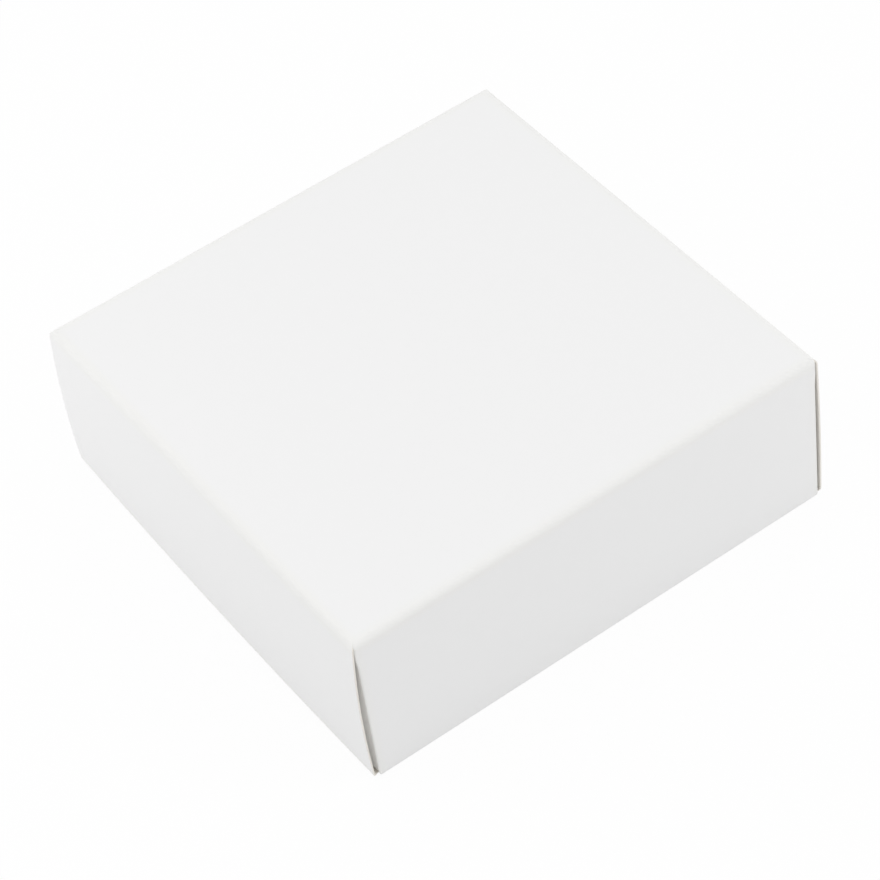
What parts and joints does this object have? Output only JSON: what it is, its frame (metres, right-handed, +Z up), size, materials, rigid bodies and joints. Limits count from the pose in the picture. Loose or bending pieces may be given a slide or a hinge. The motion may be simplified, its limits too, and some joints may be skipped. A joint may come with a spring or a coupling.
{
  "type": "gift box",
  "caption": "Plain white square paperboard gift box: a full-depth lift-off lid with rolled double side walls and tucked corner flaps, over a matching tray.",
  "frame": {"origin": "on the table, under the middle of the closed box", "axes": "+Z up through the lid; X runs across the two rolled walls; Y runs across the two plain walls, with the front at -Y"},
  "size_m": [0.1586, 0.152, 0.0548],
  "materials": {
    "lid_board": "matte",
    "tray_board": "matte"
  },
  "bodies": {
    "tray": {"tray_bottom_panel": "tray_board", "tray_left_wall": "tray_board", "tray_left_rim": "tray_board", "tray_right_wall": "tray_board", "tray_right_rim": "tray_board", "tray_front_wall": "tray_board", "tray_front_left_flap": "tray_board", "tray_front_right_flap": "tray_board", "tray_back_wall": "tray_board", "tray_back_left_flap": "tray_board", "tray_back_right_flap": "tray_board"},
    "lid": {"lid_top_panel": "lid_board", "lid_left_wall": "lid_board", "lid_left_rim": "lid_board", "lid_left_inner_wall": "lid_board", "lid_right_wall": "lid_board", "lid_right_rim": "lid_board", "lid_right_inner_wall": "lid_board", "lid_front_wall": "lid_board", "lid_front_left_flap": "lid_board", "lid_front_right_flap": "lid_board", "lid_back_wall": "lid_board", "lid_back_left_flap": "lid_board", "lid_back_right_flap": "lid_board"},
    "tray_left_inner": {"tray_left_inner_wall": "tray_board"},
    "tray_right_inner": {"tray_right_inner_wall": "tray_board"}
  },
  "joints": [
    {"name": "lid_lift", "type": "slide", "parent": "tray", "child": "lid", "axis": [0, 0, 1], "range_m": [0, 0.11]},
    {"name": "tray_left_inner_fold", "type": "hinge", "parent": "tray", "child": "tray_left_inner", "pos_m": [-0.07295, 0, 0.0524], "axis": [0, -1, 0], "range_deg": [0, 90]},
    {"name": "tray_right_inner_fold", "type": "hinge", "parent": "tray", "child": "tray_right_inner", "pos_m": [0.07295, 0, 0.0524], "axis": [0, 1, 0], "range_deg": [0, 90]}
  ]
}
